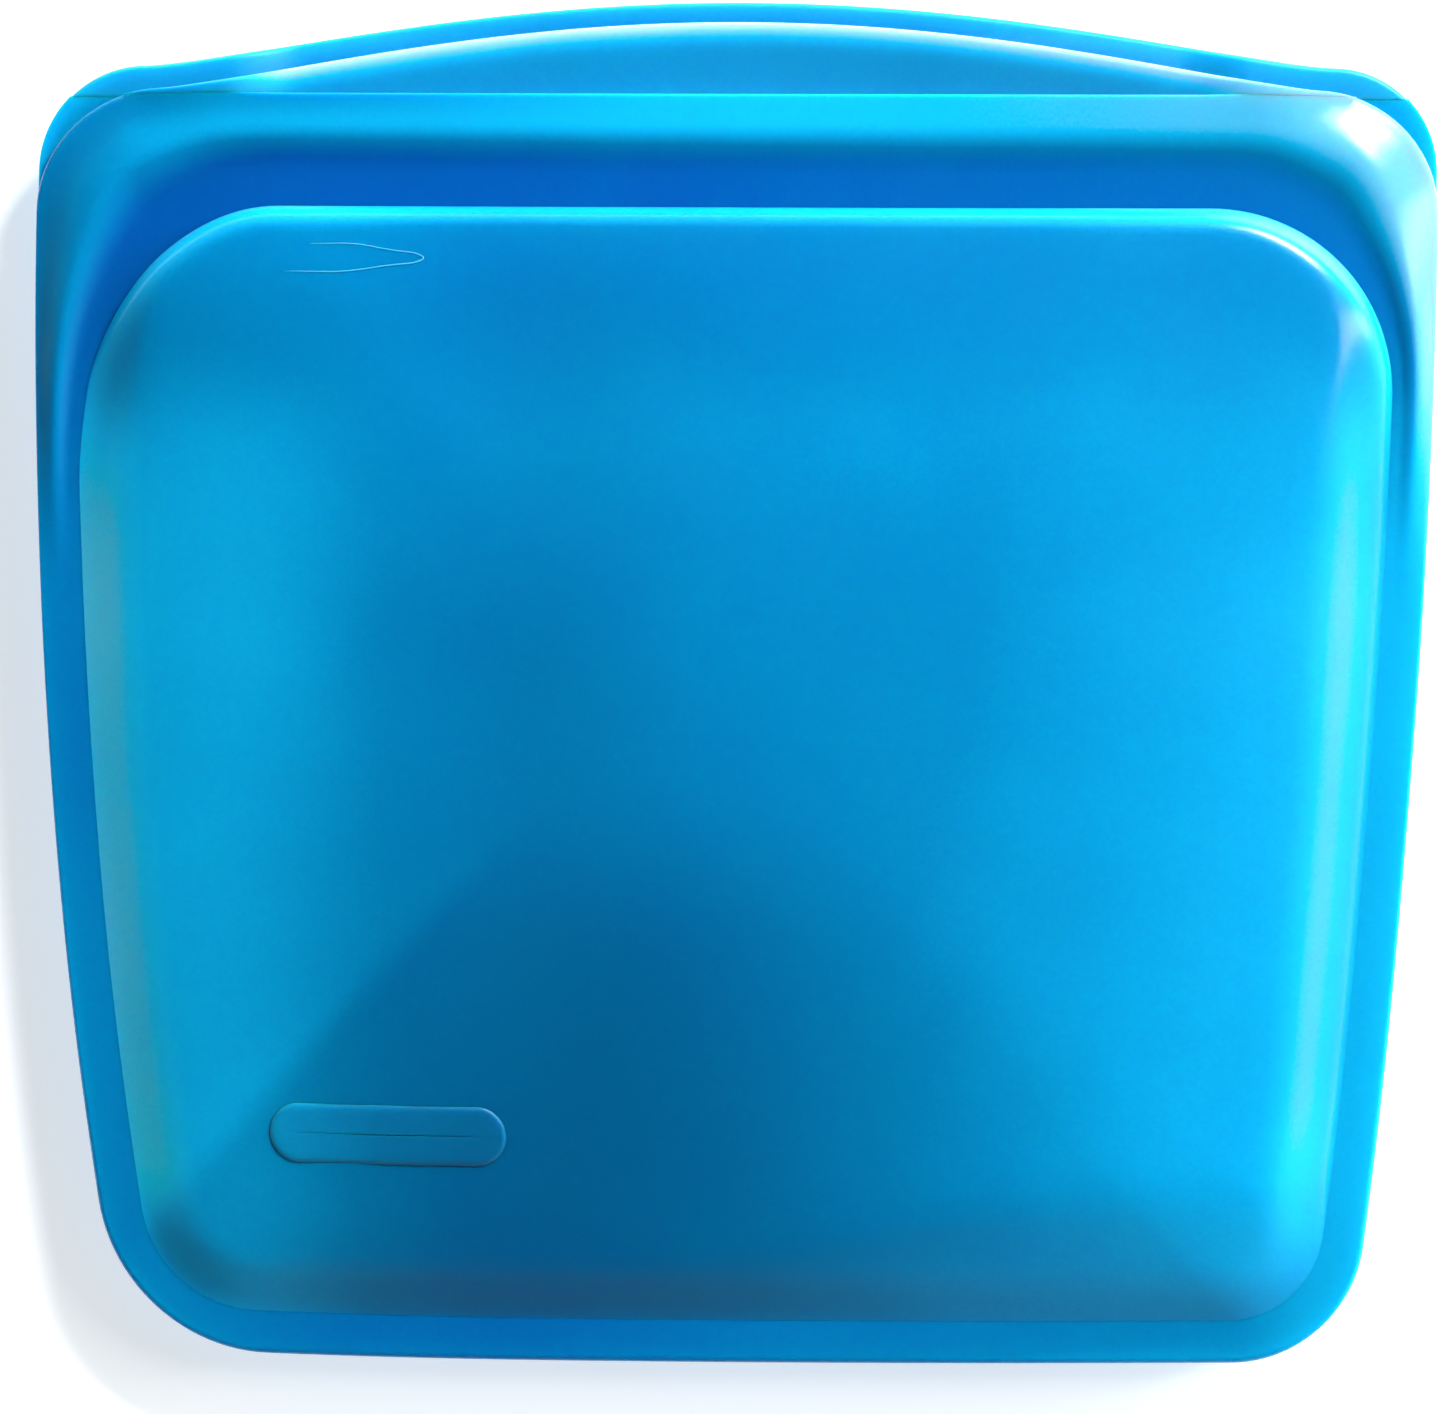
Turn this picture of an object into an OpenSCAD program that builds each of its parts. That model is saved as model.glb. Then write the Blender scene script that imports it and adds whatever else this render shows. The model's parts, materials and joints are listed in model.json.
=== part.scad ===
// Reusable silicone bag with a pinch seal, lying flat on its back wall.
// +X is across the bag, +Y points to the mouth and +Z is up, through the thickness.
// The origin is under the middle of the bag, on the surface it lies on.

/* [Body] */
// Widest width, just below the mouth
body_w = 190.5; // [171:0.5:210]
// Length from the bottom edge to the top of the back lip
body_l = 184.6; // [166:0.2:203]
// How far each side draws in towards the bottom
side_draw = 11.6; // [0:0.1:20]
// Radius of the bottom corners
bottom_r = 18; // [12:0.5:24]
// Radius of the top corners of the back half
top_r = 14.3; // [10:0.1:18]
// Radius of the top corners of the front half
front_top_r = 16.5; // [10:0.1:17]

/* [Pouch] */
// Width of the flat flange beside and below the pouch
flange_w = 5.8; // [4:0.1:8]
// Radius of the pouch's top corners
pouch_top_r = 25; // [15:0.5:30]
// Radius of the pouch's bottom corners
pouch_bottom_r = 13; // [8:0.5:18]
// Height of the crown of the filled pouch above the table
crown_z = 24; // [20:0.5:30]
// Thickness of the pouch walls
wall_t = 1.3; // [1:0.1:2]
// Roundness of the pouch's edge: a higher number is squarer
edge_power = 2.6; // [2:0.1:4]

/* [Flange] */
// Height of the bond plane above the table
parting_z = 10; // [8:0.5:12]
// Thickness of each half's flange
rim_t = 1.7; // [1.2:0.1:2.5]
// Thickness of the bond between the flanges
bond_t = 0.2; // [0.1:0.1:0.3]

/* [Mouth] */
// Top edge of the pouch, measured from the middle of the bag
pouch_top_y = 63.7; // [60:0.1:66]
// Line about which both lips fold open
fold_y = 65; // [64:0.1:67]
// Lower edge of the seal bars
bar_y0 = 72.4; // [71:0.1:74]
// Upper edge of the seal bars
bar_y1 = 78.9; // [77:0.1:80]
// Height of the arch of the lips above their shoulders
arch_h = 9; // [5:0.5:12]
// How much lower the front lip is than the back lip
lip_step = 3.6; // [2:0.1:5]
// Half width of the open throat between the necks
throat_w = 64; // [50:1:66]
// Height of the throat where it leaves the pouch
throat_h = 6; // [5:0.1:6.4]
// Thickness of the necks
neck_t = 1.6; // [1.2:0.1:2]
// Clearance between the two halves of the mouth
seal_gap = 0.3; // [0.2:0.05:0.4]
// Thickness of the front seal bar
front_bar_t = 4.8; // [3:0.1:5.5]
// Thickness of the back seal bar under its channel
back_bar_t = 2.4; // [1.6:0.1:3]
// Thickness of the lips
lip_t = 1.5; // [1.2:0.1:2]
// How far the tip of each lip stands away from the other
lip_flare = 1; // [0:0.1:1.5]

/* [Pinch seal] */
// Width of the tongue
tongue_w = 2; // [1.6:0.1:2.4]
// Depth of the tongue below the front seal bar
tongue_h = 1.65; // [1.4:0.05:1.8]
// Centre line of the tongue and its channel
tongue_y = 75.6; // [75:0.1:76.5]
// Height of the channel ribs
rib_h = 2.45; // [2:0.05:2.6]

/* [Write patch] */
// Length of the raised patch
patch_l = 32; // [20:1:40]
// Height of the raised patch
patch_w = 8; // [5:0.5:10]
// How far the patch stands proud of the wall
patch_t = 0.4; // [0.2:0.05:0.6]

/* [Hidden] */

half_w = body_w / 2;
bottom_y = -body_l / 2;
top_y = body_l / 2;
shoulder_y = top_y - arch_h;
wide_y = shoulder_y - top_r;
front_wide_y = shoulder_y - lip_step - front_top_r;
// The sides follow a parabola, so the draw grows with the square of the distance from the widest line.
draw = side_draw / (wide_y - bottom_y) ^ 2;

front_z = parting_z + bond_t / 2;
back_z = parting_z - bond_t / 2;
// Faces of the two seal bars, which close with a gap between them
front_face_z = parting_z + seal_gap / 2;
back_face_z = parting_z - seal_gap / 2;
throat_top = parting_z + throat_h / 2;
throat_bottom = parting_z - throat_h / 2;
front_fold_z = throat_top + neck_t / 2;
back_fold_z = throat_bottom - neck_t / 2;
neck_drop = 0.8;
bead_r = 1;
hinge_gap = 0.3;
fold_clear = 0.4;
rim_top_y = fold_y - fold_clear;
land_overlap = 2;
bar_edge = 0.8;
tip_round = 0.4;
channel_plate_z = back_face_z - rib_h;
channel_bottom_w = 2.7;
channel_top_w = 4.2;
rib_span = 6;
lip_fold_y = bar_y1 + hinge_gap + lip_t / 2;
lip_level = 2.4;
front_lip_z = parting_z + lip_level;
back_lip_z = parting_z - lip_level;
patch_x = -46;
patch_y = -61.3;
// Length and height of the cutting blocks, past the part on every side
long = body_w + 10;
tall = 60;
pouch_mid_y = -10;
flat_share = 0.5;
// Depth of the throat's mouth in the pouch, the length of its end ramps and the share of a ramp outside the
// throat, and how far its foot stands clear
throat_depth = 4;
throat_ramp = 10;
throat_clear = 0.2;
throat_share = 0.6;
arch_power = 1.3;
bottom_n = 3;
corner_n = 10;
side_n = 9;
arch_n = 18;
$fn = 48;

// Share of the way from the pouch's edge to its middle at which each ring of a wall lies
ring_s = [0, 0.004, 0.014, 0.032, 0.06, 0.1, 0.16, 0.26, 0.42, 0.66];

// Half width of the bag at height y along the side, inset by d
function side_x(y, d) = half_w - d - draw * max(wide_y - y, 0) ^ 2;

// Angle by which the side leans out where the bottom corner meets it
function lean(y) = atan(2 * draw * max(wide_y - y, 0));

// Arched top edge: t runs from 0 in the middle to 1 at the shoulder
function arch(t) = arch_h * max(1 - t * t, 0) ^ arch_power;

// Right half of an outline, from the bottom's middle round to the top's middle.
// d is the inset of the sides and y0 the bottom. The top corner of radius rt ends at height yt, and the arch
// rises above that where arched is 1.
function half_outline(d, y0, rb, yt, rt, arched) =
    let(cy = y0 + rb,
        join_y = y0 + rb * (1 - sin(lean(cy))),
        turn = lean(join_y),
        join_x = side_x(join_y, d),
        cx = join_x - rb * cos(turn),
        tx = side_x(yt - rt, d) - rt)
    concat(
        [for (i = [0 : bottom_n - 1]) [cx * i / bottom_n, y0]],
        [for (i = [0 : corner_n])
            let(a = -90 + (90 - turn) * i / corner_n)
            [cx + rb * cos(a), cy + rb * sin(a)]],
        [for (i = [1 : side_n])
            let(y = join_y + (yt - rt - join_y) * i / side_n)
            [side_x(y, d), y]],
        [for (i = [1 : corner_n])
            let(a = 90 * i / corner_n)
            [tx + rt * cos(a), yt - rt + rt * sin(a)]],
        [for (i = [1 : arch_n])
            let(t = 1 - i / arch_n)
            [tx * t, yt + arched * arch(t)]]);

function mirrored(p) = [for (i = [len(p) - 2 : -1 : 1]) [-p[i].x, p[i].y]];
function whole(p) = concat(p, mirrored(p));

back_outline = whole(half_outline(0, bottom_y, bottom_r, shoulder_y, top_r, 1));
front_outline = whole(half_outline(0, bottom_y, bottom_r, shoulder_y - lip_step, front_top_r, 1));
pouch_outline = whole(half_outline(flange_w, bottom_y + flange_w, pouch_bottom_r,
                                   pouch_top_y, pouch_top_r, 0));
inner_outline = whole(half_outline(flange_w + wall_t, bottom_y + flange_w + wall_t, pouch_bottom_r - wall_t,
                                   pouch_top_y - wall_t, pouch_top_r - wall_t, 0));

// Rise of a wall from its foot, 0, to its crown, 1: a superellipse, upright at the edge and level in the
// middle
function dome(s) = (1 - (1 - s) ^ edge_power) ^ (1 / edge_power);
function ease(t) = let(u = min(max(t, 0), 1)) u * u * (3 - 2 * u);

// The patch sits on the dome at patch_s of the way in from the bottom edge, and tilts with the dome.
patch_root = 0.5;
patch_from = [patch_x, patch_y - pouch_mid_y];
patch_out = patch_from / norm(patch_from);
patch_reach = (bottom_y + flange_w - pouch_mid_y) / patch_out.y;
patch_s = 1 - norm(patch_from) / patch_reach;
patch_z = front_z + (crown_z - front_z) * dome(patch_s);
patch_tilt = atan((crown_z - front_z) * (dome(patch_s + 0.01) - dome(patch_s - 0.01)) / 0.02 / patch_reach);

// The foot of a wall lies on the bond, and lifts clear of it along the throat.
function throat(p) = p.y > pouch_top_y - throat_depth
    ? ease((throat_w - abs(p.x)) / throat_ramp + throat_share) : 0;
function front_foot(p) = front_z + (throat_top + throat_clear - front_z) * throat(p);
function back_foot(p) = back_z + (throat_bottom - throat_clear - back_z) * throat(p);

function toward(p, s) = [p.x * (1 - s), p.y + (pouch_mid_y - p.y) * s];
function front_point(p, s, top) =
    let(q = toward(p, s), z = front_foot(p))
    [q.x, q.y, z + (top - z) * dome(s)];
function back_point(p, s, low) =
    let(q = toward(p, s), z = back_foot(p))
    [q.x, q.y, z + (low - z) * dome(min(s / flat_share, 1))];

// Closed shell between an outer and an inner skin, each a list of rings that ends in a pole.
// up is 1 where the outer skin is the higher one.
module shell(outer, outer_pole, inner, inner_pole, up) {
    n = len(outer[0]);
    m = len(outer);
    base = n * m;
    points = concat([for (r = outer) each r], [for (r = inner) each r], [outer_pole, inner_pole]);
    skin = function (offset, pole, flip)
        concat(
            [for (k = [0 : m - 2], i = [0 : n - 1])
                let(a = offset + k * n + i, b = offset + k * n + (i + 1) % n)
                for (t = [[a, b, b + n], [a, b + n, a + n]])
                    flip ? [t[2], t[1], t[0]] : t],
            [for (i = [0 : n - 1])
                let(a = offset + (m - 1) * n + i, b = offset + (m - 1) * n + (i + 1) % n)
                flip ? [pole, b, a] : [a, b, pole]]);
    foot = [for (i = [0 : n - 1])
        let(a = i, b = (i + 1) % n)
        for (t = [[a, base + b, b], [a, base + a, base + b]])
            up ? t : [t[2], t[1], t[0]]];
    faces = concat(skin(0, 2 * base, !up), skin(base, 2 * base + 1, up), foot);
    polyhedron(points, [for (f = faces) [f[2], f[1], f[0]]], convexity = 4);
}

// A profile drawn in Y and Z, carried along X and cut to a plan outline
module along_x(profile, plan) {
    intersection() {
        rotate([90, 0, 90]) linear_extrude(long, center = true) polygon(profile);
        linear_extrude(tall, center = true) polygon(plan);
    }
}

// A round bead along X, cut to a plan outline: the folding line of a neck or lip
module bead(y, z, r, plan) {
    intersection() {
        translate([0, y, z]) rotate([0, 90, 0]) cylinder(r = r, h = long, center = true);
        linear_extrude(tall, center = true) polygon(plan);
    }
}

// Flange of one half: a band round the pouch, open where the throat leaves it
module rim_band(z0, z1, inner) {
    translate([0, 0, z0]) linear_extrude(z1 - z0) difference() {
        polygon(back_outline);
        polygon(inner);
        translate([-half_w, rim_top_y]) square([body_w, top_y]);
        translate([-throat_w, 0]) square([2 * throat_w, top_y]);
    }
}

module front_wall() {
    color("deepskyblue") shell(
        [for (s = ring_s) [for (p = pouch_outline) front_point(p, s, crown_z)]], [0, pouch_mid_y, crown_z],
        [for (s = ring_s) [for (p = inner_outline) front_point(p, s, crown_z - wall_t)]],
        [0, pouch_mid_y, crown_z - wall_t], true);
}

module back_wall() {
    color("steelblue") shell(
        [for (s = ring_s) [for (p = pouch_outline) back_point(p, s, 0)]], [0, pouch_mid_y, 0],
        [for (s = ring_s) [for (p = inner_outline) back_point(p, s, wall_t)]],
        [0, pouch_mid_y, wall_t], false);
}

module front_rim() {
    color("dodgerblue") rim_band(front_z, front_z + rim_t, pouch_outline);
}

module back_rim() {
    color("royalblue") rim_band(back_z - rim_t, back_z, pouch_outline);
}

module rim_bond() {
    color("lightskyblue") rim_band(back_z, front_z, inner_outline);
}

module write_patch() {
    color("cyan") translate([patch_x, patch_y, patch_z])
        rotate(a = patch_tilt, v = [-patch_out.y, patch_out.x, 0])
        translate([0, 0, -patch_root]) linear_extrude(patch_root + patch_t) {
            square([patch_l - patch_w, patch_w], center = true);
            for (side = [-1, 1]) translate([side * (patch_l - patch_w) / 2, 0]) circle(d = patch_w);
        }
}

// Sheet of a neck, from the fold to the seal bar: side is 1 for the front neck and -1 for the back one
function neck_profile(z, side) =
    [[fold_y, z], [bar_y0, z - side * neck_drop],
     [bar_y0, z + side * (neck_t - neck_drop)], [fold_y, z + side * neck_t]];

// Land that shuts the end of the throat, between the neck's sheet and the parting plane
module neck_land(end, z0, z1, plan) {
    intersection() {
        translate([end > 0 ? throat_w + land_overlap : -half_w, fold_y, z0])
            cube([half_w - throat_w - land_overlap, bar_y0 - fold_y, z1 - z0]);
        linear_extrude(tall, center = true) polygon(plan);
    }
}

module front_neck() {
    color("dodgerblue") {
        bead(fold_y, front_fold_z, bead_r, front_outline);
        along_x(neck_profile(throat_top, 1), front_outline);
        for (end = [-1, 1]) neck_land(end, front_face_z, throat_top, front_outline);
    }
}

module back_neck() {
    color("royalblue") {
        bead(fold_y, back_fold_z, bead_r, back_outline);
        along_x(neck_profile(throat_bottom, -1), back_outline);
        for (end = [-1, 1]) neck_land(end, throat_bottom, back_face_z, back_outline);
    }
}

// Bar between its sealing face and its outer face, with its outer edges cut back
function bar_profile(face_z, outer_z) =
    let(cut = sign(outer_z - face_z) * bar_edge)
    [[bar_y0, face_z], [bar_y1, face_z], [bar_y1, outer_z - cut], [bar_y1 - bar_edge, outer_z],
     [bar_y0 + 2 * bar_edge, outer_z], [bar_y0, outer_z - cut]];

module front_seal_bar() {
    color("deepskyblue") along_x(bar_profile(front_face_z, front_face_z + front_bar_t), front_outline);
}

module back_seal_bar() {
    color("steelblue") along_x(bar_profile(channel_plate_z, channel_plate_z - back_bar_t), back_outline);
}

module seal_tongue() {
    low = front_face_z - tongue_h;
    half = tongue_w / 2;
    color("cyan") along_x(
        [[tongue_y - half, front_face_z], [tongue_y - half, low + tip_round],
         [tongue_y - half + tip_round, low], [tongue_y + half - tip_round, low],
         [tongue_y + half, low + tip_round], [tongue_y + half, front_face_z]],
        front_outline);
}

// Rib of the channel on one side of the tongue: its inner face flares open towards the tongue
module channel_rib(side) {
    along_x(
        [[tongue_y + side * channel_bottom_w / 2, channel_plate_z],
         [tongue_y + side * channel_top_w / 2, back_face_z],
         [tongue_y + side * rib_span / 2, back_face_z], [tongue_y + side * rib_span / 2, channel_plate_z]],
        back_outline);
}

module inner_channel_rib() {
    color("lightskyblue") channel_rib(-1);
}

module outer_channel_rib() {
    color("lightskyblue") channel_rib(1);
}

// Lip about its fold line at height z, its tip raised by flare
module lip(z, flare, plan) {
    half = lip_t / 2;
    bead(lip_fold_y, z, half, plan);
    along_x([[lip_fold_y, z - half], [top_y, z - half + flare], [top_y, z + half + flare],
             [lip_fold_y, z + half]], plan);
}

module front_lip() {
    color("deepskyblue") lip(front_lip_z, lip_flare, front_outline);
}

module back_lip() {
    color("steelblue") lip(back_lip_z, -lip_flare, back_outline);
}

front_wall();
back_wall();
front_rim();
back_rim();
rim_bond();
write_patch();
front_neck();
front_seal_bar();
seal_tongue();
front_lip();
back_neck();
back_seal_bar();
inner_channel_rib();
outer_channel_rib();
back_lip();
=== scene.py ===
# Reusable silicone bag with a pinch seal, lying on its back wall.
# The CAD frame gives every size and place. Shapes are worked out in millimetres.
import json
import math

import bpy
import numpy as np
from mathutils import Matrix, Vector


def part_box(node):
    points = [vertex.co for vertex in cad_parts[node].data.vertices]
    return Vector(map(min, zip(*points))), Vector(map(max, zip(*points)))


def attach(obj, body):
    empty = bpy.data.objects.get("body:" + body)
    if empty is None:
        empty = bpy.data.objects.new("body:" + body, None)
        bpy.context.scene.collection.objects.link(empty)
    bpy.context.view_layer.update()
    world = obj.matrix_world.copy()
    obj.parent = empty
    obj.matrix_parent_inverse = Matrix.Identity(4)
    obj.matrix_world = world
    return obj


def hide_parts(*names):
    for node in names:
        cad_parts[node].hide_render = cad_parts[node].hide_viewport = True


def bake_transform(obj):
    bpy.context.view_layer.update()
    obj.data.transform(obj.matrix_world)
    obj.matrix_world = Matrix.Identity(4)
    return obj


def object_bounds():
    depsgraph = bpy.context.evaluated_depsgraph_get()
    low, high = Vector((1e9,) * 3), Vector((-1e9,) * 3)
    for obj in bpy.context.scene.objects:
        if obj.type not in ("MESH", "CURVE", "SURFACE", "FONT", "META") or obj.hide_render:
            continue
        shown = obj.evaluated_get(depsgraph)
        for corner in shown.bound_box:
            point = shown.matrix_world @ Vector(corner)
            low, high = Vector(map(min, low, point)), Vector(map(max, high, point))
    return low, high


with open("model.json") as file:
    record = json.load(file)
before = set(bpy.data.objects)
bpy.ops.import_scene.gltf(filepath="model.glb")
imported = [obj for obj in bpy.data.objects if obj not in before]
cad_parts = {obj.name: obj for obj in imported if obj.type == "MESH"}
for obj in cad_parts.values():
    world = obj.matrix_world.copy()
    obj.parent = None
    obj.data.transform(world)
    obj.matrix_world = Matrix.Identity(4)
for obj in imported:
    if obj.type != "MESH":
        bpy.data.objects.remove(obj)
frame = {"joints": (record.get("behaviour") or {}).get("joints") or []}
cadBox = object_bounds()


def mmBox(node):
    low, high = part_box(node)
    return np.array(low) * 1000, np.array(high) * 1000


def jointPoint(name):
    return next(np.array(j["pos_m"]) * 1000 for j in frame["joints"] if j["name"] == name)


cadLow, cadHigh = np.array(cadBox[0]) * 1000, np.array(cadBox[1]) * 1000
rimLow, rimHigh = mmBox("front_rim")
backRimHigh = mmBox("back_rim")[1]
wallLow, wallHigh = mmBox("front_wall")
barLow, barHigh = mmBox("front_seal_bar")
frontLipHigh = mmBox("front_lip")[1]
tongueLow, tongueHigh = mmBox("seal_tongue")
ribLow, ribHigh = mmBox("inner_channel_rib")
outerRibLow, outerRibHigh = mmBox("outer_channel_rib")

size = {
    "halfWidth": cadHigh[0],
    "bottom": cadLow[1],
    "backTop": cadHigh[1],
    "frontTop": frontLipHigh[1],
    "pouchTop": wallHigh[1],
    "pouchBottom": wallLow[1],
    "flange": wallLow[1] - cadLow[1],
    "crown": wallHigh[2],
    "rim": rimHigh[2],
    "parting": (rimLow[2] + backRimHigh[2]) / 2,
    "barLow": barLow[1],
    "barTop": barHigh[1],
    "barCrown": barHigh[2],
    "wall": 1.3,            # thickness of the moulded walls
    "sideDraw": 11.6,       # how far each side draws in towards the bottom
    "archHeight": 9.0,
    "archPower": 1.3,
    "lowCorner": 18.0,
    "backCorner": 14.3,
    "frontCorner": 16.5,
    "pouchLowCorner": 13.0,
    "pouchTopCorner": 25.0,
    "softCorner": 5.0,      # how much rounder the lower left corner lies than the lower right one
    "drawnIn": 3.2,         # how far the upper left of the pouch is drawn in
    "skinGap": 0.1,         # how far each half stays off the parting plane
}
centreY = -10.0             # middle of the pouch, which its rings close on


def ease(t):
    t = np.clip(t, 0, 1)
    return t * t * (3 - 2 * t)


def mix(a, b, t):
    return a + (b - a) * t


# Outlines
steps = {"bottom": 20, "lowCorner": 24, "side": 46, "topCorner": 30, "top": 60}


def sideX(y, inset, wideY):
    # half width less the inset, drawn in by a parabola below the widest line
    draw = size["sideDraw"] / (wideY - size["bottom"]) ** 2
    return size["halfWidth"] - inset - draw * np.maximum(wideY - y, 0) ** 2


def halfOutline(inset, low, lowCorner, top, topCorner, arch):
    # bottom line, low corner arc, parabolic side, top corner arc, then the arched top (1 - t^2)^archPower
    wideY = size["backTop"] - size["archHeight"] - size["backCorner"]
    lean = lambda y: math.atan(2 * size["sideDraw"] / (wideY - size["bottom"]) ** 2 * (wideY - y))
    middle = low + lowCorner
    turn = lean(low + lowCorner * (1 - math.sin(lean(middle))))
    joinY = low + lowCorner * (1 - math.sin(turn))
    joinX = float(sideX(np.array(joinY), inset, wideY))
    lowX = joinX - lowCorner * math.cos(turn)
    topX = float(sideX(np.array(top - topCorner), inset, wideY)) - topCorner
    x0 = np.linspace(0, lowX, steps["bottom"], endpoint=False)
    a = np.linspace(-math.pi / 2, -turn, steps["lowCorner"], endpoint=False)
    y = np.linspace(joinY, top - topCorner, steps["side"], endpoint=False)
    b = np.linspace(0, math.pi / 2, steps["topCorner"], endpoint=False)
    t = np.linspace(1, 0, steps["top"])
    xs = np.concatenate([x0, lowX + lowCorner * np.cos(a), sideX(y, inset, wideY),
                         topX + topCorner * np.cos(b), topX * t])
    ys = np.concatenate([x0 * 0 + low, middle + lowCorner * np.sin(a), y,
                         top - topCorner + topCorner * np.sin(b),
                         top + arch * (1 - t * t) ** size["archPower"]])
    return np.stack([xs, ys], 1)


def outline(inset, low, lowCorner, top, topCorner, arch, softer):
    # the left half is the right one mirrored, with its bottom corner softer by the given amount
    right = halfOutline(inset, low, lowCorner, top, topCorner, arch)
    left = halfOutline(inset, low, lowCorner + softer, top, topCorner, arch)
    return np.concatenate([right, left[-2:0:-1] * [-1, 1]])


def distanceTo(points, loop):
    # least distance from each point to the segments of a closed loop
    a, b = loop, np.roll(loop, -1, 0)
    d = b - a
    px = points[:, None, 0] - a[None, :, 0]
    py = points[:, None, 1] - a[None, :, 1]
    t = np.clip((px * d[:, 0] + py * d[:, 1]) / np.maximum((d * d).sum(1), 1e-9), 0, 1)
    return np.sqrt(((px - t * d[:, 0]) ** 2 + (py - t * d[:, 1]) ** 2).min(1))


def reach(points, loop):
    # distance from the pouch's middle to the loop in the direction of each point
    angle = np.arctan2(loop[:, 1] - centreY, loop[:, 0])
    order = np.argsort(angle)
    radius = np.hypot(loop[:, 0], loop[:, 1] - centreY)
    return np.interp(np.arctan2(points[:, 1] - centreY, points[:, 0]), angle[order], radius[order],
                     period=2 * math.pi)


shoulder = size["backTop"] - size["archHeight"]
frontShoulder = size["frontTop"] - size["archHeight"]
backLoop = outline(0, size["bottom"], size["lowCorner"], shoulder, size["backCorner"],
                   size["archHeight"], size["softCorner"])
frontLoop = outline(0, size["bottom"], size["lowCorner"], frontShoulder, size["frontCorner"],
                    size["archHeight"], size["softCorner"])
pouchLoop = outline(size["flange"], size["pouchBottom"], size["pouchLowCorner"], size["pouchTop"],
                    size["pouchTopCorner"], 0, size["softCorner"] / 2)
pouchLoop[:, 0] += size["drawnIn"] * ease((pouchLoop[:, 1] - 25) / 30) * ease((-pouchLoop[:, 0] - 45) / 35)


# Heights of the mouldings
frontShape = {
    "ridge": 1.5,               # rise of the seal bar above the valley
    "climbSide": (0.24, 0.56),  # shares of the band where the climb starts and ends, at the sides
    "climbTop": (0.36, 0.72),   # and along the seal bar
    "fall": 2.9,                # how far the ridge drops again at the outer edge of the corners and sides
    "edgeTop": 2.9,             # width of the rolled pouch edge at the top, at the sides and at the bottom
    "edgeSide": 8.5,
    "edgeBottom": 8.0,
    "rollTop": 4.6,             # height of that edge
    "rollSide": 4.8,            # on the right; the left and the bottom rise gently
    "rollLow": 2.0,
    "wave": 0.42,               # swell of the slack wall
}


def waviness(x, y, phase):
    # five long waves in different directions
    return (np.sin(x / 21 + y / 34 + phase) * 0.42 + np.sin(x / 13 - y / 25 + 1.7 + phase) * 0.28
            + np.sin(y / 15 + x / 60 + 0.6 - phase) * 0.26 + np.sin(x / 8.5 + y / 12 + 2.9) * 0.10
            + np.sin(y / 9.5 - x / 17 + 4.1 + phase) * 0.10)


def footLevel(y):
    # level of the flange beside the pouch, a little higher towards the mouth
    return mix(size["rim"], size["barCrown"] - frontShape["ridge"], ease((y - 12) / 48))


def bandShares(points, loop):
    # share of the way from the pouch to the outer edge, how far the ridge has climbed there, how near the
    # mouth, and how far along the seal bar. The outer edge is the outline below the seal bar's top edge
    x, y = points.T
    out = distanceTo(points, pouchLoop)
    rim = np.where(y > size["barTop"], 0, distanceTo(points, clippedLoop(loop)))
    share = out / np.maximum(out + rim, 1e-6)
    bar = ease((y - 60) / 12) * ease((88 - np.abs(x)) / 18)
    begin = mix(frontShape["climbSide"][0], frontShape["climbTop"][0], bar)
    end = mix(frontShape["climbSide"][1], frontShape["climbTop"][1], bar)
    return share, ease((share - begin) / (end - begin)), ease((y - 8) / 50), bar


def bandHeight(points, loop):
    # flange level at the sides and bottom; towards the mouth a valley by the pouch that climbs to the bar
    share, climb, mouth, bar = bandShares(points, loop)
    fall = ease((share - 0.54) / 0.5) * mouth * (1 - bar)
    return footLevel(points[:, 1]) + frontShape["ridge"] * mouth * climb - frontShape["fall"] * fall


def footAt(points):
    # flange level where a line from the pouch's middle through each point meets the pouch outline
    angle = np.arctan2(points[:, 1] - centreY, points[:, 0])
    return footLevel(centreY + reach(points, pouchLoop) * np.sin(angle))


def pouchHeight(points, inset=0.0):
    # a rolled edge, a quarter ellipse at the top and a soft bevel elsewhere, with a shallow dome and the
    # swell of the slack wall on it
    x, y = points.T
    foot = footAt(points)
    d = np.maximum(distanceTo(points, pouchLoop) - inset, 0)
    s = np.clip(1 - np.hypot(x, y - centreY) / (reach(points, pouchLoop) - inset), 0, 1)
    top = ease((y - 34) / 22)
    bottom = ease((-y - 66) / 14)
    width = mix(mix(frontShape["edgeSide"], frontShape["edgeTop"], top), frontShape["edgeBottom"], bottom)
    width += 1.5 * np.exp(-((np.abs(x) - 80) ** 2 + (y - 54) ** 2) / 260)
    gentle = np.maximum(bottom, 1 - ease((x + 10) / 60))
    roll = mix(mix(frontShape["rollSide"], frontShape["rollLow"], gentle), frontShape["rollTop"], top)
    t = np.clip(d / width, 0, 1)
    quarter = np.sqrt(np.maximum(1 - (1 - t) ** 2, 0))
    step = mix(0.04, 0.13, ease(x / 60)) * (1 - bottom)
    slope = mix(ease(t), 1 - (1 - t) ** 1.35, 0.35 + 0.5 * ease(x / 60))
    bevel = step * (1 - np.exp(-14 * t)) + (1 - step) * slope
    edge = mix(bevel, quarter, top)
    dome = 1 - (1 - s) ** 2.4
    wave = frontShape["wave"] * waviness(x, y, 0.0) * ease((d - 2) / 14)
    crown = size["crown"] - frontShape["wave"] * 0.5
    return foot + roll * edge + (crown - foot - roll) * dome + wave


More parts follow.
